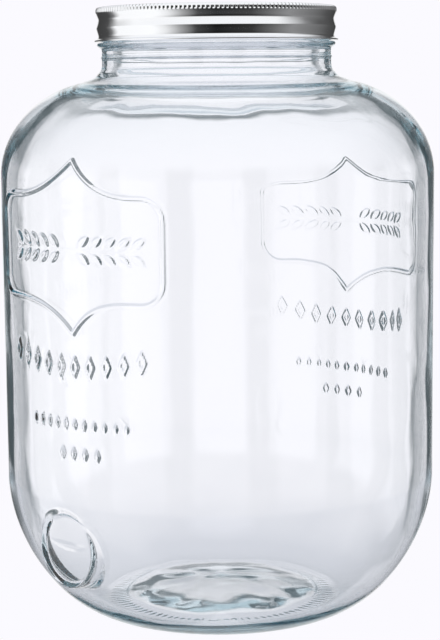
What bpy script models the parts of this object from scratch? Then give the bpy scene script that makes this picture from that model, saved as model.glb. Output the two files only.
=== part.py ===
"""A large glass storage jar with a metal screw lid, standing empty.

Metres, +Z up. The jar stands on z = 0 with its axis on Z, and its ornament faces the front left.
"""

import math

import bmesh
import bpy

# The jar's outside, from the foot up.
FOOT_RADIUS = 0.0565
BODY_RADIUS = 0.107
HEEL_TOP = 0.0683
HEEL_EXPONENT = 1.76
SHOULDER_BOTTOM = 0.2184
SHOULDER_HEIGHT = 0.0459
SHOULDER_EXPONENT = 1.95
NECK_RADIUS = 0.0567
PUSH_UP = 0.006

# The jar's inside.
WALL = 0.0043
MOUTH_RADIUS = 0.0515
FLOOR_EDGE_RADIUS = 0.0600
FLOOR_EDGE = 0.0060
FLOOR_CENTRE = 0.0145
INNER_HEEL_TOP = 0.0703
INNER_HEEL_EXPONENT = 1.80
INNER_SHOULDER_BOTTOM = 0.2164
INNER_SHOULDER_TOP = 0.2599

# The neck and the rim.
RIM_TOP = 0.2976
RIM_CREST_RADIUS = 0.0530
FINISH_RADIUS = 0.0552
COLLAR_RADIUS = 0.0585
COLLAR_TOP = 0.2828
COLLAR_BOTTOM = 0.2804
NECK_LINE = 0.2752
NECK_LINE_HEIGHT = 0.0004

# The lid.
LID_TOP = 0.2996
LID_BOTTOM = 0.2831
LID_RADIUS = 0.0591
LID_FLANGE_RADIUS = 0.0600
LID_THICKNESS = 0.0008
LID_PANEL_RADIUS = 0.0550
LID_PANEL_DROP = 0.0008

# Where the moulded ornament stands, on the front left and again behind, where it is a little wider.
FRONT_FACE = (math.radians(-39.8), 1.0)
BACK_FACE = (math.radians(136.0), 1.14)

# The plaque's outline. Its two peaks stand a little to the right of the ornament's middle.
PLAQUE_TOP = 0.2290
PLAQUE_SHOULDER = 0.2125
PLAQUE_HIP = 0.1645
PLAQUE_BOTTOM = 0.1500
PLAQUE_LEFT = 0.0590
PLAQUE_RIGHT = 0.0498
PLAQUE_PEAK = 0.0026
PLAQUE_CORNER = 0.0105
PLAQUE_TOP_POWER = 2.8
PLAQUE_BOTTOM_POWER = 3.5
RIDGE_WIDTH = 0.0030
RIDGE_HEIGHT = 0.0007

# The low ornament in and under the plaque: a leaf sprig and three rows of lozenges.
ORNAMENT_HEIGHT = 0.0007
SPRIG_HEIGHT = 0.1885
SPRIG_HALF_LENGTH = 0.0405
FIRST_LEAF = 0.0045
LEAF_PAIRS = 5
LEAF_LENGTH = 0.0098
LEAF_WIDTH = 0.0042
LEAF_ANGLE = math.radians(52)
LEAF_GAP = 0.0016
STEM_WIDTH = 0.0014
STEM_SHARE = 0.7
CREST_SHARE = 0.55
# Each row: height, middle, half length, number of lozenges, lozenge width and height, rise at the ends.
LOZENGE_ROWS = (
    (0.1347, -0.0012, 0.0402, 10, 0.0062, 0.0135, 0.0042),
    (0.1080, 0.0026, 0.0286, 11, 0.0034, 0.0080, 0.0),
    (0.0943, 0.0050, 0.0105, 4, 0.0042, 0.0088, 0.0),
)

# The round flat pad low on the front left, where a tap could be fitted.
PAD_AZIMUTH = math.radians(-43.5)
PAD_HEIGHT = 0.0468
PAD_RADIUS = 0.01725
PAD_FACE = 0.1055
PAD_ROOT = 0.080
PAD_RECESS_MARGIN = 0.0004

TURN_STEPS = 60
PAD_SIDES = 32
ROOT_DEPTH = 0.0009
# The ridge's section: each corner's share of the width from the middle, and its height above the wall.
RIDGE_SECTION = ((-0.5, -ROOT_DEPTH), (-0.22, RIDGE_HEIGHT), (0.22, RIDGE_HEIGHT), (0.5, -ROOT_DEPTH))
CAVITY_OVERSHOOT = 0.004


def super_arc(exponent, count, first=0.0, last=1.0):
    """Points (x, y) of a superellipse quarter from (0, 1) at 0 to (1, 0) at 1, both ends included."""
    points = []
    for index in range(count + 1):
        angle = math.pi / 2 * (first + (last - first) * index / count)
        x = math.sin(angle) ** (2 / exponent)
        y = math.cos(angle) ** (2 / exponent) if angle < math.pi / 2 - 1e-9 else 0.0
        points.append((x, y))
    return points


def outer_radius(z):
    """The jar's outer radius at a height on its heel, wall or shoulder."""
    if z > SHOULDER_BOTTOM:
        share = (z - SHOULDER_BOTTOM) / SHOULDER_HEIGHT
        across = (1 - share**SHOULDER_EXPONENT) ** (1 / SHOULDER_EXPONENT)
        return NECK_RADIUS + (BODY_RADIUS - NECK_RADIUS) * across
    if z < HEEL_TOP:
        share = (HEEL_TOP - z) / HEEL_TOP
        across = (1 - share**HEEL_EXPONENT) ** (1 / HEEL_EXPONENT)
        return FOOT_RADIUS + (BODY_RADIUS - FOOT_RADIUS) * across
    return BODY_RADIUS


def on_wall(face, along, z, height):
    """A point on the jar's outside: along is the distance round the wall from the ornament's middle."""
    azimuth, stretch = face
    angle = azimuth + along * stretch / BODY_RADIUS
    radius = outer_radius(z) + height
    return (radius * math.sin(angle), -radius * math.cos(angle), z)


def glass():
    material = bpy.data.materials.new("clear_glass")
    material.use_nodes = True
    shader = material.node_tree.nodes["Principled BSDF"]
    shader.inputs["Base Color"].default_value = (0.90, 0.95, 0.95, 1.0)
    shader.inputs["Roughness"].default_value = 0.03
    shader.inputs["Transmission Weight"].default_value = 1.0
    shader.inputs["IOR"].default_value = 1.5
    return material


def tinplate():
    material = bpy.data.materials.new("bright_metal")
    material.use_nodes = True
    shader = material.node_tree.nodes["Principled BSDF"]
    shader.inputs["Base Color"].default_value = (0.78, 0.79, 0.80, 1.0)
    shader.inputs["Roughness"].default_value = 0.18
    shader.inputs["Metallic"].default_value = 1.0
    return material


def link(name, mesh):
    piece = bpy.data.objects.new(name, mesh)
    bpy.context.scene.collection.objects.link(piece)
    return piece


def turned(name, profile):
    """A solid of revolution whose profile starts and ends on the axis and runs down its outer side."""
    mesh = bpy.data.meshes.new(name)
    points = [(radius, 0.0, z) for radius, z in profile]
    edges = [(index, index + 1) for index in range(len(points) - 1)]
    mesh.from_pydata(points, edges, [])
    piece = link(name, mesh)
    screw = piece.modifiers.new("turn", "SCREW")
    screw.steps = TURN_STEPS
    screw.render_steps = TURN_STEPS
    screw.use_merge_vertices = True
    screw.merge_threshold = 0.00001
    return piece


def apply_modifiers(piece):
    bpy.ops.object.select_all(action="DESELECT")
    piece.select_set(True)
    bpy.context.view_layer.objects.active = piece
    for modifier in list(piece.modifiers):
        bpy.ops.object.modifier_apply(modifier=modifier.name)


def shade(piece, material, sharp_angle):
    piece.data.materials.clear()
    piece.data.materials.append(material)
    piece.data.shade_smooth()
    piece.data.set_sharp_from_angle(angle=sharp_angle)


def outer_profile():
    """The jar's outside from the middle of its rim down to the middle of its base."""
    rim = [
        (RIM_CREST_RADIUS, RIM_TOP),
        (FINISH_RADIUS - 0.0006, RIM_TOP - 0.0006),
        (FINISH_RADIUS, RIM_TOP - 0.0020),
    ]
    collar_middle = (COLLAR_TOP + COLLAR_BOTTOM) / 2
    collar = [
        (FINISH_RADIUS, COLLAR_TOP + 0.0007),
        (COLLAR_RADIUS - 0.0005, COLLAR_TOP),
        (COLLAR_RADIUS, collar_middle),
        (COLLAR_RADIUS - 0.0006, COLLAR_BOTTOM + 0.0003),
        (NECK_RADIUS - 0.0002, COLLAR_BOTTOM - 0.0008),
    ]
    neck = [
        (NECK_RADIUS - 0.0002, NECK_LINE + 0.0007),
        (NECK_RADIUS - 0.0002 + NECK_LINE_HEIGHT, NECK_LINE),
        (NECK_RADIUS - 0.0002, NECK_LINE - 0.0007),
        (NECK_RADIUS, 0.2706),
        (NECK_RADIUS + 0.0012, 0.2682),
        (NECK_RADIUS + 0.0034, 0.2656),
    ]
    shoulder_width = BODY_RADIUS - NECK_RADIUS
    shoulder = [
        (NECK_RADIUS + shoulder_width * x, SHOULDER_BOTTOM + SHOULDER_HEIGHT * y)
        for x, y in super_arc(SHOULDER_EXPONENT, 8, first=0.14)
    ]
    heel_width = BODY_RADIUS - FOOT_RADIUS
    heel = [
        (FOOT_RADIUS + heel_width * x, HEEL_TOP - HEEL_TOP * y)
        for x, y in reversed(super_arc(HEEL_EXPONENT, 8))
    ]
    base = [
        (FOOT_RADIUS - 0.0065, 0.0),
        (FOOT_RADIUS - 0.0100, 0.0015),
        (FOOT_RADIUS * 0.45, PUSH_UP * 0.75),
        (0.0, PUSH_UP),
    ]
    return rim + collar + neck + shoulder + heel + base


def cavity_profile():
    """The jar's inside from the middle of its floor up through the mouth, then straight up and in."""
    rise = FLOOR_CENTRE - FLOOR_EDGE
    floor = [
        (0.0, FLOOR_CENTRE),
        (FLOOR_EDGE_RADIUS * 0.45, FLOOR_CENTRE - rise * 0.22),
    ]
    inner_radius = BODY_RADIUS - WALL
    heel = [
        (
            FLOOR_EDGE_RADIUS + (inner_radius - FLOOR_EDGE_RADIUS) * x,
            INNER_HEEL_TOP - (INNER_HEEL_TOP - FLOOR_EDGE) * y,
        )
        for x, y in super_arc(INNER_HEEL_EXPONENT, 6)
    ]
    shoulder_height = INNER_SHOULDER_TOP - INNER_SHOULDER_BOTTOM
    shoulder = [
        (
            MOUTH_RADIUS + (inner_radius - MOUTH_RADIUS) * x,
            INNER_SHOULDER_BOTTOM + shoulder_height * y,
        )
        for x, y in reversed(super_arc(SHOULDER_EXPONENT, 6, first=0.16))
    ]
    neck = [
        (MOUTH_RADIUS + 0.0020, INNER_SHOULDER_TOP + 0.0015),
        (MOUTH_RADIUS, INNER_SHOULDER_TOP + 0.0060),
        (MOUTH_RADIUS, RIM_TOP - 0.0012),
        (RIM_CREST_RADIUS - 0.0004, RIM_TOP + 0.0002),
        (RIM_CREST_RADIUS - 0.0004, RIM_TOP + CAVITY_OVERSHOOT),
        (0.0, RIM_TOP + CAVITY_OVERSHOOT),
    ]
    return floor + heel + shoulder + neck


def plaque_side(reach):
    """The outline from the top peak round one side to the lower peak, as (along, z) from the peaks."""
    flat_end = reach - PLAQUE_CORNER
    curve_steps = 7
    side = []
    for index in range(curve_steps):
        share = index / curve_steps
        rise = (PLAQUE_TOP - PLAQUE_SHOULDER) * (1 - share) ** PLAQUE_TOP_POWER
        side.append((flat_end * share, PLAQUE_SHOULDER + rise))
    corner_steps = 4
    for index in range(corner_steps + 1):
        angle = math.pi / 2 * index / corner_steps
        along = flat_end + PLAQUE_CORNER * math.sin(angle)
        side.append((along, PLAQUE_SHOULDER - PLAQUE_CORNER * (1 - math.cos(angle))))
    for index in range(corner_steps + 1):
        angle = math.pi / 2 * index / corner_steps
        along = flat_end + PLAQUE_CORNER * math.cos(angle)
        side.append((along, PLAQUE_HIP + PLAQUE_CORNER * (1 - math.sin(angle))))
    for index in range(curve_steps - 1, -1, -1):
        share = index / curve_steps
        drop = (PLAQUE_HIP - PLAQUE_BOTTOM) * (1 - share) ** PLAQUE_BOTTOM_POWER
        side.append((flat_end * share, PLAQUE_HIP - drop))
    return side


def plaque_outline():
    """The plaque's outline as (along, z): down its right side from the top peak and up its left."""
    right = [(PLAQUE_PEAK + along, z) for along, z in plaque_side(PLAQUE_RIGHT - PLAQUE_PEAK)]
    left = [(PLAQUE_PEAK - along, z) for along, z in plaque_side(PLAQUE_LEFT + PLAQUE_PEAK)]
    return right + left[-2:0:-1]


def add_ridge(bm, face):
    """A closed ridge along the plaque's outline, rooted in the wall."""
    outline = plaque_outline()
    rings = []
    for index, (along, z) in enumerate(outline):
        before = outline[index - 1]
        after = outline[(index + 1) % len(outline)]
        run = (after[0] - before[0], after[1] - before[1])
        length = math.hypot(*run)
        across = (-run[1] / length, run[0] / length)
        ring = []
        for side, height in RIDGE_SECTION:
            shift = side * RIDGE_WIDTH
            place = on_wall(face, along + across[0] * shift, z + across[1] * shift, height)
            ring.append(bm.verts.new(place))
        rings.append(ring)
    for index, ring in enumerate(rings):
        following = rings[(index + 1) % len(rings)]
        for corner in range(4):
            other = (corner + 1) % 4
            bm.faces.new((ring[corner], ring[other], following[other], following[corner]))


def add_pad(bm, face, outline, height):
    """A low pad with sloping sides on the wall, with its outline given as (along, z)."""
    middle_along = sum(point[0] for point in outline) / len(outline)
    middle_z = sum(point[1] for point in outline) / len(outline)
    root = [bm.verts.new(on_wall(face, along, z, -ROOT_DEPTH)) for along, z in outline]
    crest = []
    for along, z in outline:
        inward_along = middle_along + (along - middle_along) * CREST_SHARE
        inward_z = middle_z + (z - middle_z) * CREST_SHARE
        crest.append(bm.verts.new(on_wall(face, inward_along, inward_z, height)))
    count = len(outline)
    for index in range(count):
        after = (index + 1) % count
        bm.faces.new((root[index], root[after], crest[after], crest[index]))
    bm.faces.new(crest)
    bm.faces.new(list(reversed(root)))


def lozenge(along, z, width, height, turn=0.0):
    """The outline of a six-sided lozenge, its long way up, turned by an angle."""
    corners = []
    for x, y in ((0, -0.5), (0.5, -0.18), (0.5, 0.18), (0, 0.5), (-0.5, 0.18), (-0.5, -0.18)):
        flat_x = x * width
        flat_y = y * height
        corners.append(
            (
                along + flat_x * math.cos(turn) - flat_y * math.sin(turn),
                z + flat_x * math.sin(turn) + flat_y * math.cos(turn),
            )
        )
    return corners


def add_sprig(bm, face):
    """A level stem with pairs of leaves that lean away from the middle on both sides."""
    stem_half = STEM_WIDTH / 2
    stem = [
        (-SPRIG_HALF_LENGTH, SPRIG_HEIGHT - stem_half),
        (0.0, SPRIG_HEIGHT - stem_half),
        (SPRIG_HALF_LENGTH, SPRIG_HEIGHT - stem_half),
        (SPRIG_HALF_LENGTH, SPRIG_HEIGHT + stem_half),
        (0.0, SPRIG_HEIGHT + stem_half),
        (-SPRIG_HALF_LENGTH, SPRIG_HEIGHT + stem_half),
    ]
    add_pad(bm, face, stem, ORNAMENT_HEIGHT * STEM_SHARE)
    for side in (-1, 1):
        for pair in range(LEAF_PAIRS):
            foot = side * (FIRST_LEAF + (SPRIG_HALF_LENGTH - FIRST_LEAF) * pair / LEAF_PAIRS)
            for up in (-1, 1):
                reach = LEAF_LENGTH / 2 + LEAF_GAP
                along = foot + side * reach * math.sin(LEAF_ANGLE)
                z = SPRIG_HEIGHT + up * reach * math.cos(LEAF_ANGLE)
                turn = -side * up * LEAF_ANGLE
                leaf = lozenge(along, z, LEAF_WIDTH, LEAF_LENGTH, turn)
                add_pad(bm, face, leaf, ORNAMENT_HEIGHT)


def add_lozenge_rows(bm, face):
    for height, middle, half_length, count, width, tall, rise in LOZENGE_ROWS:
        for index in range(count):
            share = 2 * index / (count - 1) - 1
            z = height + rise * share * share
            along = middle + half_length * share
            add_pad(bm, face, lozenge(along, z, width, tall), ORNAMENT_HEIGHT)


def relief():
    """The plaque ridges and the ornament, on the front left and again behind."""
    bm = bmesh.new()
    for face in (FRONT_FACE, BACK_FACE):
        add_ridge(bm, face)
        add_sprig(bm, face)
        add_lozenge_rows(bm, face)
    bmesh.ops.recalc_face_normals(bm, faces=bm.faces)
    mesh = bpy.data.meshes.new("relief")
    bm.to_mesh(mesh)
    bm.free()
    return link("relief", mesh)


def tap_pad(name, radius, near, far):
    """A round bar along the tap pad's level axis, from one distance from the jar's axis to another."""
    middle = (near + far) / 2
    bpy.ops.mesh.primitive_cylinder_add(
        vertices=PAD_SIDES,
        radius=radius,
        depth=far - near,
        location=(middle * math.sin(PAD_AZIMUTH), -middle * math.cos(PAD_AZIMUTH), PAD_HEIGHT),
        rotation=(math.pi / 2, 0.0, PAD_AZIMUTH),
    )
    piece = bpy.context.active_object
    piece.name = name
    return piece


def jar():
    """The glass body: turned outside, relief joined on, then the tap pad and the inside cut."""
    body = turned("jar", [(0.0, RIM_TOP)] + outer_profile())
    cavity = turned("cavity", cavity_profile()[::-1])
    apply_modifiers(body)
    apply_modifiers(cavity)
    pad = tap_pad("pad", PAD_RADIUS, PAD_ROOT, PAD_FACE + 0.0005)
    recess = tap_pad("recess", PAD_RADIUS + PAD_RECESS_MARGIN, PAD_FACE, BODY_RADIUS + 0.004)
    tools = [(relief(), "UNION"), (pad, "UNION"), (recess, "DIFFERENCE"), (cavity, "DIFFERENCE")]
    for tool, operation in tools:
        cut = body.modifiers.new(tool.name, "BOOLEAN")
        cut.operation = operation
        cut.object = tool
    apply_modifiers(body)
    for tool, _ in tools:
        bpy.data.objects.remove(tool, do_unlink=True)
    shade(body, glass(), math.radians(30))
    return body


def lid_outside():
    """The lid's outside from the middle of its top down to its flange, as (radius, z)."""
    return [
        (0.0, LID_TOP - LID_PANEL_DROP),
        (LID_PANEL_RADIUS - 0.0012, LID_TOP - LID_PANEL_DROP),
        (LID_PANEL_RADIUS, LID_TOP),
        (LID_RADIUS - 0.0012, LID_TOP),
        (LID_RADIUS - 0.0002, LID_TOP - 0.0008),
        (LID_RADIUS, LID_TOP - 0.0026),
        (LID_RADIUS - 0.0010, LID_TOP - 0.0044),
        (LID_RADIUS - 0.0018, LID_TOP - 0.0056),
        (LID_RADIUS - 0.0009, LID_TOP - 0.0080),
        (LID_RADIUS - 0.0002, LID_TOP - 0.0100),
        (LID_RADIUS - 0.0008, LID_TOP - 0.0126),
        (LID_RADIUS - 0.0011, LID_TOP - 0.0140),
        (LID_RADIUS - 0.0004, LID_TOP - 0.0155),
        (LID_FLANGE_RADIUS - 0.0002, LID_BOTTOM + 0.0009),
        (LID_FLANGE_RADIUS, LID_BOTTOM + 0.0005),
        (LID_FLANGE_RADIUS - 0.0001, LID_BOTTOM),
    ]


def lid():
    """The pressed metal screw lid, hollow below, set just clear of the glass."""
    inside_radius = LID_RADIUS - 0.0018 - LID_THICKNESS
    inside_top = LID_TOP - LID_PANEL_DROP - LID_THICKNESS
    inside = [
        (inside_radius + 0.0012, LID_BOTTOM),
        (inside_radius, LID_BOTTOM + 0.0012),
        (inside_radius, inside_top - 0.0006),
        (inside_radius - 0.0008, inside_top),
        (0.0, inside_top),
    ]
    piece = turned("lid", lid_outside() + inside)
    apply_modifiers(piece)
    shade(piece, tinplate(), math.radians(40))
    return piece


def clear_scene():
    for piece in list(bpy.data.objects):
        bpy.data.objects.remove(piece, do_unlink=True)


def main():
    clear_scene()
    jar()
    lid()


main()
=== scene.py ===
"""Looks of the glass storage jar: clear moulded glass with a bright metal screw lid, on a pale stage."""

import math

import bpy
import numpy as np
from bpy.props import FloatProperty, FloatVectorProperty, IntProperty, PointerProperty
from bpy.types import Operator, Panel, PropertyGroup
from mathutils import Euler, Matrix, Vector, noise


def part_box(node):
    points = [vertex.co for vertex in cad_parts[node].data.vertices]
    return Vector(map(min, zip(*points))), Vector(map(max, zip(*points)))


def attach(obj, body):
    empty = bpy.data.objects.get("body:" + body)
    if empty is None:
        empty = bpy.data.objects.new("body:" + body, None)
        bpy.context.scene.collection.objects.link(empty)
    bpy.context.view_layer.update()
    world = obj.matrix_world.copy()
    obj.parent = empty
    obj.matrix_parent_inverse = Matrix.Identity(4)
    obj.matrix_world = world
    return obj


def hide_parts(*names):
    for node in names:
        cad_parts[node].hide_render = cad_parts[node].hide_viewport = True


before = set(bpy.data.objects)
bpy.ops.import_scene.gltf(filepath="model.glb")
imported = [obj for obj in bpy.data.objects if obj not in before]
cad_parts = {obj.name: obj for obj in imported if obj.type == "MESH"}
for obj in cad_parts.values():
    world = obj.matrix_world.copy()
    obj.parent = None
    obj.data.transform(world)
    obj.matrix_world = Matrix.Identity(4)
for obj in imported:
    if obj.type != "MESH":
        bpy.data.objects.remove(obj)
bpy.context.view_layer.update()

bl_info = {
    "name": "Glass Storage Jar",
    "version": (1, 0, 0),
    "blender": (4, 5, 0),
    "location": "3D Viewport > Sidebar > Storage Jar",
    "description": "Models a clear glass storage jar with a bright metal screw lid",
    "category": "Add Mesh",
}

JAR_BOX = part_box("jar")
LID_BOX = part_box("lid")
MM = 0.001


def length(name, description, default):
    return FloatProperty(name=name, description=description, default=default, unit="LENGTH", precision=5)


def direction(name, description, degrees):
    """A direction round Z, from -Y towards +X."""
    return FloatProperty(name=name, description=description, default=math.radians(degrees), unit="ROTATION")


def colour(name, description, default, highest=1):
    return FloatVectorProperty(
        name=name,
        description=description,
        default=default,
        subtype="COLOR",
        min=0,
        max=highest,
    )


class GlassSizes(PropertyGroup):
    """Sizes of the glass body."""

    body_radius: length("Body radius", "Outer radius of the straight wall", JAR_BOX[1][0])
    foot_radius: length("Foot radius", "Where the heel meets the foot", 0.0565)
    heel_top: length("Heel top", "Height at which the wall becomes straight", 0.0683)
    shoulder_bottom: length("Shoulder bottom", "Height at which the wall starts to turn in", 0.2184)
    shoulder_height: length("Shoulder height", "Rise of the shoulder's curve", 0.0459)
    neck_radius: length("Neck radius", "Outer radius of the neck", 0.0567)
    wall: length("Wall", "Thickness of the straight wall", 0.0043)
    mouth_radius: length("Mouth radius", "Inner radius of the neck", 0.0515)
    floor_edge_radius: length("Floor edge radius", "Where the inner floor meets the inner heel", 0.0600)
    floor_edge: length("Floor edge", "Height of the inner floor at its edge", 0.0060)
    floor_centre: length("Floor centre", "Height of the inner floor at its middle", 0.0145)
    push_up: length("Push up", "Rise of the base under the middle", 0.006)
    rim_top: length("Rim top", "Height of the glass rim", JAR_BOX[1][2])
    columns: IntProperty(name="Columns", description="Faces round the jar", default=144, min=24)


class ReliefSizes(PropertyGroup):
    """Sizes of the moulded ornament and of the tap pad."""

    front_azimuth: direction("Front azimuth", "Direction of the front ornament", -39.8)
    back_azimuth: direction("Back azimuth", "Direction of the rear ornament", 136)
    back_stretch: FloatProperty(
        name="Back stretch",
        description="How much wider the rear ornament is",
        default=1.14,
        min=0.1,
    )
    plaque_top: length("Plaque top", "Height of the plaque's top peak", 0.2290)
    plaque_shoulder: length("Plaque shoulder", "Height of the plaque's upper corners", 0.2125)
    plaque_hip: length("Plaque hip", "Height of the plaque's lower corners", 0.1645)
    plaque_bottom: length("Plaque bottom", "Height of the plaque's lower peak", 0.1500)
    plaque_left: length("Plaque left", "Reach of the plaque to the left of the ornament's middle", 0.0590)
    plaque_right: length("Plaque right", "Reach of the plaque to the right of the ornament's middle", 0.0498)
    plaque_peak: length("Plaque peak", "Place of the plaque's peaks from the ornament's middle", 0.0026)
    plaque_corner: length("Plaque corner", "Radius of the plaque's corners", 0.0105)
    ridge_width: length("Ridge width", "Width of the plaque's ridge", 0.0030)
    height: length("Relief height", "How far the ornament stands out", 0.0007)
    sprig_height: length("Sprig height", "Height of the sprig's stem", 0.1885)
    sprig_half_length: length("Sprig half length", "Half the length of the sprig's stem", 0.0405)
    pad_azimuth: direction("Pad azimuth", "Direction of the tap pad", -43.5)
    pad_height: length("Pad height", "Height of the tap pad's middle", 0.0468)
    pad_radius: length("Pad radius", "Radius of the tap pad", 0.01725)
    pad_face: length("Pad face", "Distance of the tap pad's face from the jar's axis", 0.1055)


class LidSizes(PropertyGroup):
    """Sizes of the metal lid."""

    top: length("Top", "Height of the lid's top edge", LID_BOX[1][2])
    bottom: length("Bottom", "Height of the lid's lower edge", 0.2831)
    flange_radius: length("Flange radius", "Radius of the lid's lower edge", LID_BOX[1][0])
    rim_radius: length("Rim radius", "Radius of the ribbed rim", 0.0591)
    thickness: length("Thickness", "Thickness of the metal with its lining", 0.0008)
    ribs: IntProperty(name="Ribs", description="Fine ribs round the rim", default=175, min=12)
    rib_depth: length("Rib depth", "How deep the fine ribs are pressed", 0.00045)


class Finishes(PropertyGroup):
    """Colours and finishes."""

    glass_tint: colour("Glass tint", "Colour that thick glass turns light", (0.40, 0.66, 0.72))
    glass_density: FloatProperty(name="Glass density", description="Absorption per metre", default=9.0, min=0)
    glass_ior: FloatProperty(name="Glass IOR", description="Refractive index", default=1.5, min=1)
    metal_colour: colour("Metal colour", "Colour of the tinplate", (0.86, 0.87, 0.89))
    metal_roughness: FloatProperty(
        name="Metal roughness",
        description="Roughness of the lid",
        default=0.10,
        min=0,
        max=1,
    )
    backdrop: colour("Backdrop", "Colour of the floor and backdrop", (0.965, 0.956, 1.0), 2)


def settings():
    return bpy.context.scene.storage_jar_glass, bpy.context.scene.storage_jar_relief


def smooth_step(values):
    share = np.clip(values, 0.0, 1.0)
    return share * share * (3 - 2 * share)


def deselect():
    bpy.ops.object.select_all(action="DESELECT")


def turned_piece(name, profile, steps):
    """Extrudes a profile point by point from one vertex, spins it round Z and closes its poles."""
    deselect()
    bpy.ops.mesh.primitive_plane_add(size=MM)
    piece = bpy.context.active_object
    piece.name = name
    piece.data.name = name
    bpy.ops.object.mode_set(mode="EDIT")
    bpy.ops.mesh.select_mode(type="VERT")
    bpy.ops.mesh.merge(type="CENTER")
    radius, height = profile[0]
    bpy.ops.transform.translate(value=(radius, 0.0, height))
    for (from_radius, from_height), (to_radius, to_height) in zip(profile, profile[1:]):
        step = (to_radius - from_radius, 0.0, to_height - from_height)
        bpy.ops.mesh.extrude_region_move(TRANSFORM_OT_translate={"value": step})
    bpy.ops.mesh.select_all(action="SELECT")
    bpy.ops.mesh.spin(steps=steps, angle=2 * math.pi, center=(0, 0, 0), axis=(0, 0, 1))
    bpy.ops.mesh.select_all(action="SELECT")
    bpy.ops.mesh.remove_doubles(threshold=0.000002)
    bpy.ops.mesh.normals_make_consistent(inside=False)
    bpy.ops.object.mode_set(mode="OBJECT")
    return piece


def subdivide_faces(piece, wanted, cuts):
    """Cuts up the faces whose index is in wanted."""
    bpy.ops.object.mode_set(mode="EDIT")
    bpy.ops.mesh.select_mode(type="FACE")
    bpy.ops.mesh.select_all(action="DESELECT")
    bpy.ops.object.mode_set(mode="OBJECT")
    piece.data.polygons.foreach_set("select", wanted)
    bpy.ops.object.mode_set(mode="EDIT")
    bpy.ops.mesh.subdivide(number_cuts=cuts)
    bpy.ops.object.mode_set(mode="OBJECT")


def face_centres(mesh):
    centres = np.empty(len(mesh.polygons) * 3)
    mesh.polygons.foreach_get("center", centres)
    return centres.reshape(-1, 3)


def vertex_places(mesh):
    places = np.empty(len(mesh.vertices) * 3)
    mesh.vertices.foreach_get("co", places)
    return places.reshape(-1, 3)


def set_vertex_places(mesh, places):
    mesh.vertices.foreach_set("co", places.ravel())
    mesh.update()


def displace(piece, weights, strength):
    """Moves vertices along their normals by strength times their weight, through a Displace modifier."""
    group = piece.vertex_groups.new(name="relief")
    for index in np.flatnonzero(weights > 0.0005):
        group.add([int(index)], float(weights[index]), "REPLACE")
    modifier = piece.modifiers.new("relief", "DISPLACE")
    modifier.vertex_group = group.name
    modifier.strength = strength
    modifier.mid_level = 0.0
    modifier.direction = "NORMAL"
    apply_modifiers(piece)
    piece.vertex_groups.clear()


def apply_modifiers(piece):
    deselect()
    piece.select_set(True)
    bpy.context.view_layer.objects.active = piece
    for modifier in list(piece.modifiers):
        bpy.ops.object.modifier_apply(modifier=modifier.name)


def super_arc(exponent, count, first=0.0, last=1.0):
    """Points of a superellipse quarter from (0, 1) to (1, 0), both ends included."""
    points = []
    for index in range(count + 1):
        angle = math.pi / 2 * (first + (last - first) * index / count)
        across = math.sin(angle) ** (2 / exponent)
        up = math.cos(angle) ** (2 / exponent) if angle < math.pi / 2 - 1e-9 else 0.0
        points.append((across, up))
    return points


def smooth_curve(points, cuts):
    """A Catmull-Rom curve through the points, with some new points in each stretch."""
    padded = [points[0]] + list(points) + [points[-1]]
    curve = []
    for before, start, end, after in zip(padded, padded[1:], padded[2:], padded[3:]):
        for index in range(cuts):
            share = index / cuts
            curve.append(
                tuple(
                    0.5
                    * (
                        2 * s
                        + (e - b) * share
                        + (2 * b - 5 * s + 4 * e - a) * share**2
                        + (3 * s - b - 3 * e + a) * share**3
                    )
                    for b, s, e, a in zip(before, start, end, after)
                )
            )
    curve.append(points[-1])
    return curve


# Superellipse exponents of the heel and the shoulder, outside and inside.
HEEL_EXPONENT = 1.76
SHOULDER_EXPONENT = 1.95
INNER_HEEL_EXPONENT = 1.80
# How far the inside of the shoulder lies under its outside, and its flare into the neck.
INNER_SHOULDER_DROP = 0.0044
INNER_FLARE = 0.0060
INNER_FLARE_WIDTH = 0.0050
# The glass grows thicker from this radius in to the neck, by this much.
THICK_NECK_DROP = 0.0025
THICK_NECK_RADIUS = 0.079


def outer_radius(sizes, height):
    """The jar's outer radius at heights given as an array, on its heel, wall and shoulder."""
    up = np.clip((height - sizes.shoulder_bottom) / sizes.shoulder_height, 0, 1)
    down = np.clip((sizes.heel_top - height) / sizes.heel_top, 0, 1)
    shoulder = (1 - up**SHOULDER_EXPONENT) ** (1 / SHOULDER_EXPONENT)
    heel = (1 - down**HEEL_EXPONENT) ** (1 / HEEL_EXPONENT)
    at_shoulder = sizes.neck_radius + (sizes.body_radius - sizes.neck_radius) * shoulder
    at_heel = sizes.foot_radius + (sizes.body_radius - sizes.foot_radius) * heel
    return np.where(height > sizes.heel_top, at_shoulder, at_heel)


def straight(low, high, radius, count):
    """Points down a straight wall, both ends left out."""
    return [(radius, high + (low - high) * index / count) for index in range(1, count)]


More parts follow.
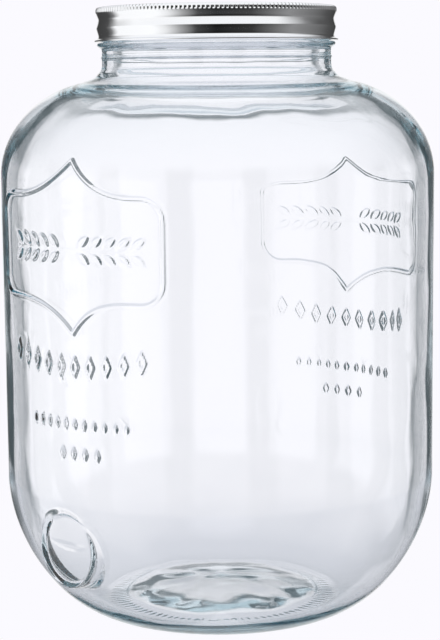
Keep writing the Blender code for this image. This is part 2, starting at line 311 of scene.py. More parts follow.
def glass_outside(sizes):
    """The glass from the middle of its rim down its outside to the middle of its base."""
    top = sizes.rim_top
    neck = sizes.neck_radius
    finish = neck - 0.0015
    rim = smooth_curve(
        [
            (0.0530, top),
            (0.0539, top - 0.0001),
            (finish - 0.0004, top - 0.0007),
            (finish, top - 0.0020),
            (finish, 0.2880),
            (finish, 0.2836),
            (finish + 0.0012, 0.2825),
            (0.0582, 0.2824),
            (0.0586, 0.2819),
            (0.0586, 0.2812),
            (0.0580, 0.2805),
            (neck + 0.0004, 0.2799),
            (neck - 0.0002, 0.2790),
            (neck - 0.0002, 0.2762),
            (neck + 0.0001, 0.2757),
            (neck + 0.0002, 0.2752),
            (neck - 0.0001, 0.2746),
            (neck - 0.0002, 0.2738),
            (neck, 0.2706),
            (neck + 0.0012, 0.2682),
            (neck + 0.0034, 0.2656),
        ],
        3,
    )
    width = sizes.body_radius - neck
    shoulder = [
        (neck + width * x, sizes.shoulder_bottom + sizes.shoulder_height * y)
        for x, y in super_arc(SHOULDER_EXPONENT, 24, first=0.14)
    ]
    wall = straight(sizes.heel_top, sizes.shoulder_bottom, sizes.body_radius, 32)
    width = sizes.body_radius - sizes.foot_radius
    heel = [
        (sizes.foot_radius + width * x, sizes.heel_top - sizes.heel_top * y)
        for x, y in reversed(super_arc(HEEL_EXPONENT, 26))
    ]
    foot = sizes.foot_radius
    base = smooth_curve(
        [
            (foot - 0.0025, 0.0),
            (foot - 0.0060, 0.0001),
            (foot - 0.0085, 0.0008),
            (foot - 0.0115, 0.0020),
            (foot * 0.60, sizes.push_up * 0.62),
            (foot * 0.30, sizes.push_up * 0.90),
            (0.0, sizes.push_up),
        ],
        4,
    )
    return rim + shoulder + wall + heel + base


def glass_inside(sizes):
    """The glass from the middle of its floor up its inside to the middle of its rim."""
    rise = sizes.floor_centre - sizes.floor_edge
    edge = sizes.floor_edge_radius
    floor = smooth_curve(
        [
            (0.0, sizes.floor_centre),
            (edge * 0.3, sizes.floor_centre - rise * 0.08),
            (edge * 0.6, sizes.floor_centre - rise * 0.34),
            (edge * 0.85, sizes.floor_edge + rise * 0.14),
            (edge, sizes.floor_edge),
        ],
        4,
    )[:-1]
    inner = sizes.body_radius - sizes.wall
    heel_top = sizes.heel_top + 0.002
    heel = [
        (edge + (inner - edge) * x, heel_top - (heel_top - sizes.floor_edge) * y)
        for x, y in super_arc(INNER_HEEL_EXPONENT, 22)
    ]
    shoulder_bottom = sizes.shoulder_bottom - 0.002
    shoulder_top = sizes.shoulder_bottom + sizes.shoulder_height - INNER_SHOULDER_DROP
    wall = straight(heel_top, shoulder_bottom, inner, 24)[::-1]
    mouth = sizes.mouth_radius
    shoulder = []
    for x, y in reversed(super_arc(SHOULDER_EXPONENT, 20, first=0.16)):
        radius = mouth + (inner - mouth) * x
        share = smooth_step((THICK_NECK_RADIUS - radius) / (THICK_NECK_RADIUS - mouth))
        thicker = THICK_NECK_DROP * float(share)
        shoulder.append((radius, shoulder_bottom + (shoulder_top - shoulder_bottom) * y - thicker))
    neck = smooth_curve(
        [
            (mouth + INNER_FLARE_WIDTH, shoulder_top + INNER_FLARE * 0.4),
            (mouth + INNER_FLARE_WIDTH * 0.3, shoulder_top + INNER_FLARE),
            (mouth, shoulder_top + INNER_FLARE * 2),
            (mouth, 0.2800),
            (mouth + 0.0001, 0.2920),
            (mouth + 0.0002, sizes.rim_top - 0.0012),
            (mouth + 0.0008, sizes.rim_top - 0.0002),
            (0.0530, sizes.rim_top),
        ],
        3,
    )[:-1]
    return floor + heel + wall + shoulder + neck


def plaque_side(relief, reach):
    """The outline from the top peak round one side to the lower peak, reach being that side's width."""
    corner = relief.plaque_corner
    flat_end = reach - corner
    curve_steps = 24
    corner_steps = 8
    side = []
    for index in range(curve_steps):
        share = index / curve_steps
        rise = (relief.plaque_top - relief.plaque_shoulder) * (1 - share) ** 2.8
        side.append((flat_end * share, relief.plaque_shoulder + rise))
    for index in range(corner_steps + 1):
        angle = math.pi / 2 * index / corner_steps
        drop = corner * (1 - math.cos(angle))
        side.append((flat_end + corner * math.sin(angle), relief.plaque_shoulder - drop))
    for index in range(corner_steps + 1):
        angle = math.pi / 2 * index / corner_steps
        side.append((flat_end + corner * math.cos(angle), relief.plaque_hip + corner * (1 - math.sin(angle))))
    for index in range(curve_steps - 1, -1, -1):
        share = index / curve_steps
        drop = (relief.plaque_hip - relief.plaque_bottom) * (1 - share) ** 3.5
        side.append((flat_end * share, relief.plaque_hip - drop))
    return side


def plaque_outline(relief):
    """The plaque's outline as (along, height) points, from its top peak to the right and back up the left."""
    peak = relief.plaque_peak
    right = [(peak + along, height) for along, height in plaque_side(relief, relief.plaque_right - peak)]
    left = [(peak - along, height) for along, height in plaque_side(relief, relief.plaque_left + peak)]
    return right + left[-2:0:-1]


def distance_to_outline(outline, along, height):
    """Distance from each point to a closed outline."""
    nearest = np.full(along.shape, 1.0)
    for start, end in zip(outline, outline[1:] + outline[:1]):
        run = (end[0] - start[0], end[1] - start[1])
        squared = run[0] ** 2 + run[1] ** 2
        share = np.clip(((along - start[0]) * run[0] + (height - start[1]) * run[1]) / squared, 0, 1)
        gap = np.hypot(along - start[0] - run[0] * share, height - start[1] - run[1] * share)
        nearest = np.minimum(nearest, gap)
    return nearest


# Width of the slope at the edge of a raised form.
EDGE = 0.0010
# The sprig: its pairs of leaves on each side of the middle, where the first stands, and each leaf's size.
LEAF_PAIRS = 5
FIRST_LEAF = 0.0045
LEAF_LENGTH = 0.0098
LEAF_WIDTH = 0.0044
LEAF_LEAN = math.radians(52)
LEAF_GAP = 1.2 * MM
# Lozenges at least this wide are hollow in their middle.
HOLLOW_LOZENGE_WIDTH = 5 * MM
# Rows under the plaque: height, middle, half length, number, width, height and rise at the ends, in metres.
LOZENGE_ROWS = (
    (0.1347, -0.0012, 0.0402, 10, 0.0062, 0.0135, 0.0042),
    (0.1080, 0.0026, 0.0286, 11, 0.0034, 0.0080, 0.0),
    (0.0943, 0.0050, 0.0105, 4, 0.0042, 0.0088, 0.0),
)


def leaf_height(along, height, centre, turn, long_way, across):
    """A leaf standing out of the wall, with a shallow groove for its vein. turn is from upright."""
    x = along - centre[0]
    y = height - centre[1]
    side = x * math.cos(turn) + y * math.sin(turn)
    up = y * math.cos(turn) - x * math.sin(turn)
    half = across / 2 * (1 - (2 * up / long_way) ** 2)
    inside = smooth_step((half - np.abs(side)) / EDGE)
    vein = 1 - 0.45 * np.exp(-((side / (0.45 * MM)) ** 2))
    return inside * vein


def lozenge_height(along, height, centre, width, tall):
    """A raised lozenge, hollow in its middle where it is wide enough."""
    x = np.abs(along - centre[0]) / (width / 2)
    y = np.abs(height - centre[1]) / (tall / 2)
    slope = 1 / math.hypot(2 / width, 2 / tall)
    gap = (1 - x - y) * slope
    raised = smooth_step(gap / EDGE)
    if width > HOLLOW_LOZENGE_WIDTH:
        raised = raised * (1 - 0.8 * smooth_step((gap - 1.2 * MM) / EDGE))
    return raised


def ornament(relief, along, height):
    """How far the ornament stands out at each point, from 0 to 1."""
    ridge_gap = distance_to_outline(plaque_outline(relief), along, height)
    level = smooth_step((relief.ridge_width / 2 - ridge_gap) / (1.3 * EDGE))
    stem = smooth_step((0.75 * MM - np.abs(height - relief.sprig_height)) / EDGE)
    stem = stem * smooth_step((relief.sprig_half_length - np.abs(along)) / EDGE)
    level = np.maximum(level, stem * 0.8)
    reach = LEAF_LENGTH / 2 + LEAF_GAP
    out = reach * math.sin(LEAF_LEAN)
    rise = reach * math.cos(LEAF_LEAN)
    for side in (-1, 1):
        for pair in range(LEAF_PAIRS):
            foot = side * (FIRST_LEAF + (relief.sprig_half_length - FIRST_LEAF) * pair / LEAF_PAIRS)
            for up in (-1, 1):
                centre = (foot + side * out, relief.sprig_height + up * rise)
                lean = -side * up * LEAF_LEAN
                leaf = leaf_height(along, height, centre, lean, LEAF_LENGTH, LEAF_WIDTH)
                level = np.maximum(level, leaf)
    for row_height, middle, half_length, count, width, tall, rise in LOZENGE_ROWS:
        for index in range(count):
            share = 2 * index / (count - 1) - 1
            centre = (middle + half_length * share, row_height + rise * share * share)
            level = np.maximum(level, lozenge_height(along, height, centre, width, tall))
    return level


def ornament_places(sizes, relief, places):
    """For each place: its distance round the wall from the nearer ornament's middle, and its height."""
    azimuth = np.arctan2(places[:, 0], -places[:, 1])
    from_front = (azimuth - relief.front_azimuth + math.pi) % (2 * math.pi) - math.pi
    from_back = (azimuth - relief.back_azimuth + math.pi) % (2 * math.pi) - math.pi
    nearest = np.where(np.abs(from_front) < np.abs(from_back), from_front, from_back / relief.back_stretch)
    return nearest * sizes.body_radius, places[:, 2]


def near_outside(sizes, places, tolerance):
    radius = np.hypot(places[:, 0], places[:, 1])
    return np.abs(radius - outer_radius(sizes, places[:, 2])) < tolerance


def pad_frame(relief, places):
    """For each place: its distance along the tap pad's axis, and from that axis."""
    azimuth = relief.pad_azimuth
    out = places[:, 0] * math.sin(azimuth) - places[:, 1] * math.cos(azimuth)
    along = places[:, 0] * math.cos(azimuth) + places[:, 1] * math.sin(azimuth)
    return out, np.hypot(along, places[:, 2] - relief.pad_height)


def refine_relief(piece, sizes, relief):
    """Gives the wall small faces wherever the ornament or the tap pad will be shaped."""
    centres = face_centres(piece.data)
    outside = near_outside(sizes, centres, 1.2 * MM)
    along, height = ornament_places(sizes, relief, centres)
    reach = 3.1 * MM
    near = np.zeros(len(centres), dtype=bool)
    on_band = outside & (height > 0.085) & (height < 0.236) & (np.abs(along) < 0.066)
    samples = [(0, 0), (reach, 0), (-reach, 0), (0, reach), (0, -reach)]
    samples += [(x * reach, y * reach) for x in (-0.7, 0.7) for y in (-0.7, 0.7)]
    samples += [(x * reach / 2, y * reach / 2) for x in (-1, 1) for y in (-1, 1)]
    for x, y in samples:
        near[on_band] |= ornament(relief, along[on_band] + x, height[on_band] + y) > 0.01
    out, gap = pad_frame(relief, centres)
    near |= outside & (out > 0) & (gap < relief.pad_radius + 5 * MM)
    near |= ~outside & (out > 0.05) & (centres[:, 2] > 0.010) & (gap < relief.pad_radius + 2 * MM)
    subdivide_faces(piece, near, 6)


def settle_outside(piece, sizes):
    """Brings the new small faces from the old faces' flats onto the true round of the wall."""
    places = vertex_places(piece.data)
    on_wall = near_outside(sizes, places, 0.5 * MM) & (places[:, 2] > 0.012) & (places[:, 2] < 0.255)
    radius = np.hypot(places[:, 0], places[:, 1])
    scale = np.where(on_wall, outer_radius(sizes, places[:, 2]) / np.maximum(radius, MM), 1.0)
    places[:, 0] *= scale
    places[:, 1] *= scale
    set_vertex_places(piece.data, places)


def raise_ornament(piece, sizes, relief):
    places = vertex_places(piece.data)
    outside = near_outside(sizes, places, 0.1 * MM)
    along, height = ornament_places(sizes, relief, places)
    level = np.zeros(len(places))
    level[outside] = ornament(relief, along[outside], height[outside])
    displace(piece, level, relief.height)


# The step round the tap pad, and the one behind it in the glass's inside, which starts past the pad's edge.
PAD_STEP = 0.0035
PAD_HOLLOW_SLOPE = 0.0020
PAD_HOLLOW_REACH = 0.0005


def press_tap_pad(piece, sizes, relief):
    """Draws the wall to the tap pad's flat face, with a rounded step round it, and its inside after it."""
    places = vertex_places(piece.data)
    outside = near_outside(sizes, places, 0.1 * MM)
    out, gap = pad_frame(relief, places)
    step = PAD_STEP
    share = smooth_step((relief.pad_radius + step - gap) / step)
    share = np.where(outside & (out > 0), share, 0.0)
    shift = (relief.pad_face - out) * share
    inside = ~outside & (out > 0.05) & (places[:, 2] > 0.010)
    share = smooth_step((relief.pad_radius + PAD_HOLLOW_REACH - gap) / PAD_HOLLOW_SLOPE)
    shift += np.where(inside, (relief.pad_face - sizes.wall - out) * share, 0.0)
    places[:, 0] += shift * math.sin(relief.pad_azimuth)
    places[:, 1] -= shift * math.cos(relief.pad_azimuth)
    set_vertex_places(piece.data, places)


# Size of the slow waves in the glass, and their height in the neck, the shoulder, the heel and the wall.
WAVE_SIZE = 0.022
NECK_WAVE = 0.14 * MM
SHOULDER_WAVE = 0.22 * MM
HEEL_WAVE = 0.45 * MM
INNER_WALL_WAVE = 0.15 * MM
OUTER_WALL_WAVE = 0.03 * MM


def ripple_glass(piece, sizes):
    """Gives the inside of the glass, and a little its outside, the slow waves of moulded glass."""
    places = vertex_places(piece.data)
    outer = outer_radius(sizes, places[:, 2])
    radius = np.hypot(places[:, 0], places[:, 1])
    for index, place in enumerate(places):
        inward = outer[index] - radius[index]
        height = place[2]
        if height > sizes.rim_top - 0.004:
            continue
        if height > 0.262:
            inside = radius[index] < sizes.mouth_radius + 0.002
            amount = NECK_WAVE if inside else 0.0
        else:
            inside = inward > 2.0 * MM and height > 0.008
            amount = INNER_WALL_WAVE if inside else OUTER_WALL_WAVE
        if inside and height < 0.05:
            amount = HEEL_WAVE
        elif inside and 0.235 < height < 0.262:
            amount = SHOULDER_WAVE
        if height < 0.004 or amount == 0.0:
            continue
        point = Vector((place[0], place[1], place[2] * 0.6)) / WAVE_SIZE
        wave = noise.noise(point) + 0.5 * noise.noise(point * 2.3)
        if inside and height < 0.02:
            near_edge = math.exp(-(((radius[index] - sizes.floor_edge_radius) / (7 * MM)) ** 2))
            wave += 1.1 * near_edge * noise.noise(point * 4.5)
        if radius[index] > 0.02:
            places[index][0] *= 1 + wave * amount / radius[index]
            places[index][1] *= 1 + wave * amount / radius[index]
        if inside and height < 0.05:
            places[index][2] += wave * amount
    places[:, :2] = np.clip(places[:, :2], -sizes.body_radius, sizes.body_radius)
    set_vertex_places(piece.data, places)


def stipple_foot(piece, sizes):
    """Presses small uneven ribs into the ring that the jar stands on."""
    places = vertex_places(piece.data)
    radius = np.hypot(places[:, 0], places[:, 1])
    for index in np.flatnonzero((places[:, 2] < 0.0022) & (radius > 0.044) & (radius < 0.0605)):
        angle = math.atan2(places[index][0], places[index][1])
        point = Vector((math.cos(angle) * 16, math.sin(angle) * 16, radius[index] * 260))
        rib = 0.5 + 0.5 * math.sin(angle * 96 + 2.2 * noise.noise(point * 0.4))
        window = math.exp(-(((radius[index] - 0.0525) / 0.0035) ** 2))
        places[index][2] += 0.55 * MM * rib * window * (0.7 + 0.6 * noise.noise(point))
    places[:, 2] = np.maximum(places[:, 2], 0.0)
    set_vertex_places(piece.data, places)


def refine_foot(piece):
    centres = face_centres(piece.data)
    radius = np.hypot(centres[:, 0], centres[:, 1])
    subdivide_faces(piece, (centres[:, 2] < 0.0022) & (radius > 0.046) & (radius < 0.060), 2)


def new_material(name):
    material = bpy.data.materials.new(name)
    material.use_nodes = True
    tree = material.node_tree
    return material, tree, tree.nodes["Principled BSDF"]


def ripple_group():
    """A node group whose height slowly waves over a moulded or pressed surface."""
    tree = bpy.data.node_groups.new("mould_ripple", "ShaderNodeTree")
    for name, default in (("Coarse Scale", 30.0), ("Fine Scale", 120.0), ("Stretch", 0.4)):
        socket = tree.interface.new_socket(name, in_out="INPUT", socket_type="NodeSocketFloat")
        socket.default_value = default
    tree.interface.new_socket("Height", in_out="OUTPUT", socket_type="NodeSocketFloat")
    nodes, links = tree.nodes, tree.links
    inputs = nodes.new("NodeGroupInput")
    outputs = nodes.new("NodeGroupOutput")
    place = nodes.new("ShaderNodeTexCoord")
    squash = nodes.new("ShaderNodeCombineXYZ")
    squash.inputs["X"].default_value = 1.0
    squash.inputs["Y"].default_value = 1.0
    links.new(inputs.outputs["Stretch"], squash.inputs["Z"])
    stretched = nodes.new("ShaderNodeVectorMath")
    stretched.operation = "MULTIPLY"
    links.new(place.outputs["Object"], stretched.inputs[0])
    links.new(squash.outputs["Vector"], stretched.inputs[1])
    coarse = nodes.new("ShaderNodeTexNoise")
    fine = nodes.new("ShaderNodeTexNoise")
    for texture, scale in ((coarse, "Coarse Scale"), (fine, "Fine Scale")):
        texture.inputs["Detail"].default_value = 1.0
        links.new(stretched.outputs["Vector"], texture.inputs["Vector"])
        links.new(inputs.outputs[scale], texture.inputs["Scale"])
    total = nodes.new("ShaderNodeMath")
    total.operation = "MULTIPLY_ADD"
    total.inputs[1].default_value = 0.12
    links.new(fine.outputs["Fac"], total.inputs[0])
    links.new(coarse.outputs["Fac"], total.inputs[2])
    links.new(total.outputs["Value"], outputs.inputs["Height"])
    return tree


def add_ripple(tree, shader, group, coarse, fine, stretch, strength, distance):
    """Feeds the ripple group through a Bump node into a shader's normal."""
    ripple = tree.nodes.new("ShaderNodeGroup")
    ripple.node_tree = group
    ripple.inputs["Coarse Scale"].default_value = coarse
    ripple.inputs["Fine Scale"].default_value = fine
    ripple.inputs["Stretch"].default_value = stretch
    bump = tree.nodes.new("ShaderNodeBump")
    bump.inputs["Strength"].default_value = strength
    bump.inputs["Distance"].default_value = distance
    tree.links.new(ripple.outputs["Height"], bump.inputs["Height"])
    tree.links.new(bump.outputs["Normal"], shader.inputs["Normal"])


def glass_material(finishes, group):
    material, tree, shader = new_material("clear_moulded_glass")
    shader.inputs["Base Color"].default_value = (1.0, 1.0, 1.0, 1.0)
    shader.inputs["Roughness"].default_value = 0.0
    shader.inputs["Metallic"].default_value = 0.0
    shader.inputs["IOR"].default_value = finishes.glass_ior
    shader.inputs["Transmission Weight"].default_value = 1.0
    absorption = tree.nodes.new("ShaderNodeVolumeAbsorption")
    absorption.inputs["Color"].default_value = (*finishes.glass_tint, 1.0)
    absorption.inputs["Density"].default_value = finishes.glass_density
    tree.links.new(absorption.outputs["Volume"], tree.nodes["Material Output"].inputs["Volume"])
    add_ripple(tree, shader, group, 38.0, 150.0, 0.5, 0.12, 0.0006)
    return material


def metal_material(finishes, group):
    material, tree, shader = new_material("bright_tinplate")
    shader.inputs["Base Color"].default_value = (*finishes.metal_colour, 1.0)
    shader.inputs["Metallic"].default_value = 1.0
    shader.inputs["Roughness"].default_value = finishes.metal_roughness
    add_ripple(tree, shader, group, 45.0, 400.0, 1.0, 0.10, 0.0002)
    return material


def lid_profile(sizes):
    """The lid from the middle of its top down its outside, round the flange and up its inside."""
    top = sizes.top
    rim = sizes.rim_radius
    skirt = smooth_curve(
        [
            (rim - 0.0022, top - 0.0002),
            (rim - 0.0012, top),
            (rim - 0.0004, top - 0.0004),
            (rim, top - 0.0011),
            (rim, top - 0.0024),
            (rim - 0.0002, top - 0.0032),
            (rim - 0.0006, top - 0.0043),
            (rim - 0.0010, top - 0.0053),
            (rim - 0.0012, top - 0.0060),
            (rim - 0.0011, top - 0.0068),
            (rim - 0.0008, top - 0.0080),
            (rim - 0.0004, top - 0.0093),
            (rim - 0.0002, top - 0.0101),
            (rim - 0.0004, top - 0.0112),
            (rim - 0.0008, top - 0.0126),
            (rim - 0.0011, top - 0.0138),
            (rim - 0.0010, top - 0.0145),
            (rim - 0.0004, top - 0.0155),
            (sizes.flange_radius - 0.0003, sizes.bottom + 0.0007),
            (sizes.flange_radius, sizes.bottom + 0.0004),
            (sizes.flange_radius - 0.0001, sizes.bottom),
        ],
        3,
    )
    panel_edge = rim - 0.0040
    panel = [
        (0.0, top - 0.0008),
        (panel_edge * 0.33, top - 0.0008),
        (panel_edge * 0.66, top - 0.0008),
        (panel_edge - 0.0015, top - 0.0008),
        (panel_edge - 0.0006, top - 0.0007),
        (panel_edge, top - 0.0004),
        (panel_edge + 0.0006, top - 0.0001),
    ]
    inner = rim - 0.0018 - sizes.thickness
    inside_top = top - 0.0008 - sizes.thickness
    inside = [
        (inner + 0.0014, sizes.bottom),
        (inner + 0.0004, sizes.bottom + 0.0007),
        (inner, sizes.bottom + 0.0016),
        (inner, inside_top - 0.0010),
        (inner - 0.0006, inside_top - 0.0003),
        (inner - 0.0016, inside_top),
        (inner * 0.5, inside_top),
        (0.0, inside_top),
    ]
    return panel + skirt + inside


def press_ribs(piece, sizes):
    """Presses fine upright ribs into the rim of the lid."""
    places = vertex_places(piece.data)
    radius = np.hypot(places[:, 0], places[:, 1])
    azimuth = np.arctan2(places[:, 0], -places[:, 1])
    down = sizes.top - places[:, 2]
    outer = smooth_step((radius - sizes.rim_radius + 0.0018) / (0.6 * MM)) * (down < 3.2 * MM)
    band = smooth_step((3.0 * MM - down) / (0.7 * MM)) * outer
    groove = 0.5 - 0.5 * np.cos(azimuth * sizes.ribs)
    scale = 1 - sizes.rib_depth * groove * band / np.maximum(radius, MM)
    places[:, 0] *= scale
    places[:, 1] *= scale
    set_vertex_places(piece.data, places)


def finish_piece(piece, material, node, smooth_angle):
    piece.data.materials.clear()
    piece.data.materials.append(material)
    deselect()
    piece.select_set(True)
    bpy.context.view_layer.objects.active = piece
    bpy.ops.object.shade_smooth_by_angle(angle=smooth_angle)
    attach(piece, "root")
    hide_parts(node)


class STORAGEJAR_OT_glass(Operator):
    """Models the glass body with its ornament, tap pad and foot"""

    bl_idname = "storage_jar.glass"
    bl_label = "Glass Body"

    def execute(self, context):
        sizes, relief = settings()
        profile = glass_outside(sizes) + glass_inside(sizes)
        piece = turned_piece("glass_body", profile, sizes.columns)
        refine_relief(piece, sizes, relief)
        settle_outside(piece, sizes)
        raise_ornament(piece, sizes, relief)
        press_tap_pad(piece, sizes, relief)
        refine_foot(piece)
        stipple_foot(piece, sizes)
        ripple_glass(piece, sizes)
        material = glass_material(context.scene.storage_jar_finishes, ripple_group())
        finish_piece(piece, material, "jar", math.radians(60))
        return {"FINISHED"}


class STORAGEJAR_OT_lid(Operator):
    """Models the pressed metal lid with its ribbed rim"""

    bl_idname = "storage_jar.lid"
    bl_label = "Metal Lid"

    def execute(self, context):
        sizes = context.scene.storage_jar_lid
        piece = turned_piece("screw_lid", lid_profile(sizes), sizes.ribs * 6)
        press_ribs(piece, sizes)
        group = bpy.data.node_groups.get("mould_ripple") or ripple_group()
        material = metal_material(context.scene.storage_jar_finishes, group)
        finish_piece(piece, material, "lid", math.radians(50))
        return {"FINISHED"}


def math_node(tree, operation, first, second=None, third=None, clamp=False):
    node = tree.nodes.new("ShaderNodeMath")
    node.operation = operation
    node.use_clamp = clamp
    for index, value in enumerate((first, second, third)):
        if value is None:
            continue
        if hasattr(value, "is_output"):
            tree.links.new(value, node.inputs[index])
        else:
            node.inputs[index].default_value = value
    return node.outputs["Value"]


def smooth_range(tree, value, start, end, low, high):
    node = tree.nodes.new("ShaderNodeMapRange")
    node.interpolation_type = "SMOOTHSTEP"
    tree.links.new(value, node.inputs["Value"])
    node.inputs["From Min"].default_value = start
    node.inputs["From Max"].default_value = end
    node.inputs["To Min"].default_value = low
    node.inputs["To Max"].default_value = high
    return node.outputs["Result"]


def mix_colour(tree, share, first, second):
    node = tree.nodes.new("ShaderNodeMix")
    node.data_type = "RGBA"
    for name, value in (("Factor", share), ("A", first), ("B", second)):
        socket = node.inputs[name]
        if hasattr(value, "is_output"):
            tree.links.new(value, socket)
        else:
            socket.default_value = value
    return [output for output in node.outputs if output.type == "RGBA"][0]


# What polished surfaces mirror near the horizon, and above it.
# Each pair is degrees from +Y, positive towards +X, and brightness.
ROUND_THE_STUDIO = (
    (-180, 0.008),
    (-160, 0.05),
    (-144, 0.40),
    (-128, 0.95),
    (-116, 1.15),
    (-68, 1.10),
    (-58, 0.20),
    (-50, 0.07),
    (-17, 0.05),
    (-12, 0.90),
    (12, 0.90),
    (17, 0.05),
    (44, 0.09),
    (65, 0.17),
    (100, 0.29),
    (123, 0.14),
    (143, 0.035),
    (180, 0.008),
)
ABOVE_THE_STUDIO = (
    (-180, 1.05),
    (-90, 1.10),
    (-66, 0.75),
    (-48, 0.10),
    (0, 0.08),
    (56, 0.08),
    (80, 0.22),
    (100, 0.60),
    (116, 1.05),
    (180, 1.05),
)


# Colours round the studio: high overhead, from below, and what shows through the glass.
OVERHEAD = (1.05, 1.06, 1.08, 1.0)
BELOW = (0.6, 0.62, 0.65, 1.0)
THROUGH_LEVEL = (1.045, 1.03, 1.08, 1.0)
THROUGH_LOW = (0.77, 0.78, 0.85, 1.0)
DARK_FLAG = (0.09, 0.12, 0.135, 1.0)


def level_ramp(tree, turn, levels):
    """A grey ramp over a full turn, from pairs of degrees and brightness."""
    ramp = tree.nodes.new("ShaderNodeValToRGB")
    tree.links.new(turn, ramp.inputs["Fac"])
    stops = ramp.color_ramp.elements
    while len(stops) < len(levels):
        stops.new(0.5)
    for stop, (degrees, level) in zip(stops, levels):
        stop.position = degrees / 360 + 0.5
        stop.color = (level, level, level, 1.0)
    return ramp.outputs["Color"]


def studio_world(finishes):
    """A pale studio seen plainly, and by bounced light as soft boxes between dark flags."""
    world = bpy.data.worlds.new("studio")
    bpy.context.scene.world = world
    world.use_nodes = True
    tree = world.node_tree
    background = tree.nodes["Background"]
    place = tree.nodes.new("ShaderNodeTexCoord")
    split = tree.nodes.new("ShaderNodeSeparateXYZ")
    tree.links.new(place.outputs["Generated"], split.inputs["Vector"])
    azimuth = math_node(tree, "ARCTAN2", split.outputs["X"], split.outputs["Y"])
    elevation = math_node(tree, "ARCSINE", split.outputs["Z"])

    turn = math_node(tree, "MULTIPLY_ADD", azimuth, 1 / (2 * math.pi), 0.5)
    level = level_ramp(tree, turn, ROUND_THE_STUDIO)
    overhead = level_ramp(tree, turn, ABOVE_THE_STUDIO)
    top = smooth_range(tree, elevation, math.radians(20), math.radians(42), 0.0, 1.0)
    overhead = mix_colour(tree, top, overhead, OVERHEAD)
    above = smooth_range(tree, elevation, math.radians(10), math.radians(24), 0.0, 1.0)
    mirrored = mix_colour(tree, above, level, overhead)
    below = smooth_range(tree, elevation, math.radians(-80), math.radians(-20), 0.20, 0.0)
    mirrored = mix_colour(tree, below, mirrored, BELOW)

    eighth = math.pi / 4
    shifted = math_node(tree, "ADD", azimuth, 2 * math.pi + eighth / 2)
    wrapped = math_node(tree, "MODULO", shifted, eighth)
    off = math_node(tree, "ABSOLUTE", math_node(tree, "SUBTRACT", wrapped, eighth / 2))
    flag = smooth_range(tree, off, math.radians(13), math.radians(16.5), 0.0, 1.0)
    high = smooth_range(tree, elevation, math.radians(9), math.radians(16), 0.0, 1.0)
    low = smooth_range(tree, elevation, math.radians(-21), math.radians(-12), 0.05, 1.0)
    dark = math_node(tree, "MAXIMUM", math_node(tree, "MULTIPLY", flag, low), high)
    downward = smooth_range(tree, elevation, math.radians(-19), math.radians(-10.5), 1.0, 0.0)
    pale = mix_colour(tree, downward, THROUGH_LEVEL, THROUGH_LOW)
    seen_through = mix_colour(tree, dark, pale, DARK_FLAG)

    path = tree.nodes.new("ShaderNodeLightPath")
    bounced = mix_colour(tree, path.outputs["Is Transmission Ray"], mirrored, seen_through)
    colour = mix_colour(tree, path.outputs["Is Camera Ray"], bounced, (*finishes.backdrop, 1.0))
    tree.links.new(colour, background.inputs["Color"])
    background.inputs["Strength"].default_value = 1.0


def stage_floor(finishes):
    """A wide pale floor that glows as evenly as the backdrop and casts nothing on the jar."""
    deselect()
    bpy.ops.mesh.primitive_grid_add(x_subdivisions=8, y_subdivisions=8, size=12.0, location=(0, 0, 0))
    floor = bpy.context.active_object
    floor.name = "stage_floor"
    material, tree, shader = new_material("pale_floor")
    shader.inputs["Base Color"].default_value = (0.0, 0.0, 0.0, 1.0)
    shader.inputs["Specular IOR Level"].default_value = 0.0
    shader.inputs["Emission Color"].default_value = (*finishes.backdrop, 1.0)
    shader.inputs["Emission Strength"].default_value = 1.0
    floor.data.materials.append(material)
    floor.location.z = -0.2 * MM
    floor.visible_transmission = False
    floor.visible_glossy = False
    floor.visible_diffuse = False
    floor.visible_shadow = False


CAMERA_PLACE = (0.0005, -0.8843, 0.2641)
CAMERA_LENS = 99.83
CAMERA_PITCH = math.radians(7.7)
CAMERA_ROLL = math.radians(-0.55)


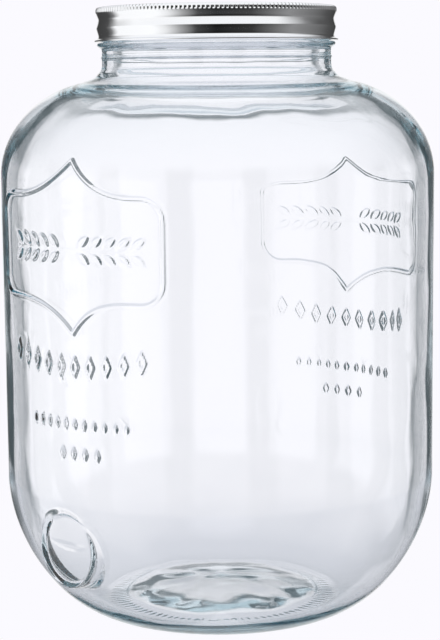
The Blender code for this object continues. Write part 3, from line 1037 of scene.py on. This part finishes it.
def stage_camera():
    data = bpy.data.cameras.new("photo_camera")
    data.lens = CAMERA_LENS
    data.sensor_width = 36.0
    camera = bpy.data.objects.new("photo_camera", data)
    bpy.context.scene.collection.objects.link(camera)
    camera.location = CAMERA_PLACE
    level = Euler((math.pi / 2 - CAMERA_PITCH, 0.0, 0.0)).to_matrix()
    camera.rotation_euler = (level @ Matrix.Rotation(CAMERA_ROLL, 3, "Z")).to_euler()
    bpy.context.scene.camera = camera


# Light is turned back inside the heel and the neck many times before it leaves the glass.
LIGHT_BOUNCES = 96


class STORAGEJAR_OT_stage(Operator):
    """Sets the pale studio, its floor and the camera"""

    bl_idname = "storage_jar.stage"
    bl_label = "Stage"

    def execute(self, context):
        finishes = context.scene.storage_jar_finishes
        studio_world(finishes)
        stage_floor(finishes)
        stage_camera()
        context.scene.view_settings.view_transform = "Standard"
        context.scene.cycles.max_bounces = LIGHT_BOUNCES
        context.scene.cycles.transmission_bounces = LIGHT_BOUNCES
        context.scene.cycles.glossy_bounces = LIGHT_BOUNCES
        return {"FINISHED"}


class STORAGEJAR_PT_panel(Panel):
    """Lists the jar's pieces and its stage"""

    bl_idname = "STORAGEJAR_PT_panel"
    bl_label = "Storage Jar"
    bl_space_type = "VIEW_3D"
    bl_region_type = "UI"
    bl_category = "Storage Jar"

    def draw(self, context):
        layout = self.layout
        for operator in OPERATORS:
            layout.operator(operator.bl_idname)
        for group in (context.scene.storage_jar_finishes, context.scene.storage_jar_lid):
            for name in group.__annotations__:
                layout.prop(group, name)


OPERATORS = (STORAGEJAR_OT_glass, STORAGEJAR_OT_lid, STORAGEJAR_OT_stage)
GROUPS = {
    "storage_jar_glass": GlassSizes,
    "storage_jar_relief": ReliefSizes,
    "storage_jar_lid": LidSizes,
    "storage_jar_finishes": Finishes,
}


def register():
    for name, group in GROUPS.items():
        bpy.utils.register_class(group)
        setattr(bpy.types.Scene, name, PointerProperty(type=group))
    for operator in OPERATORS:
        bpy.utils.register_class(operator)
    bpy.utils.register_class(STORAGEJAR_PT_panel)


def unregister():
    bpy.utils.unregister_class(STORAGEJAR_PT_panel)
    for operator in reversed(OPERATORS):
        bpy.utils.unregister_class(operator)
    for name, group in GROUPS.items():
        delattr(bpy.types.Scene, name)
        bpy.utils.unregister_class(group)


def main():
    register()
    bpy.ops.storage_jar.glass()
    bpy.ops.storage_jar.lid()
    bpy.ops.storage_jar.stage()


if __name__ == "__main__":
    main()
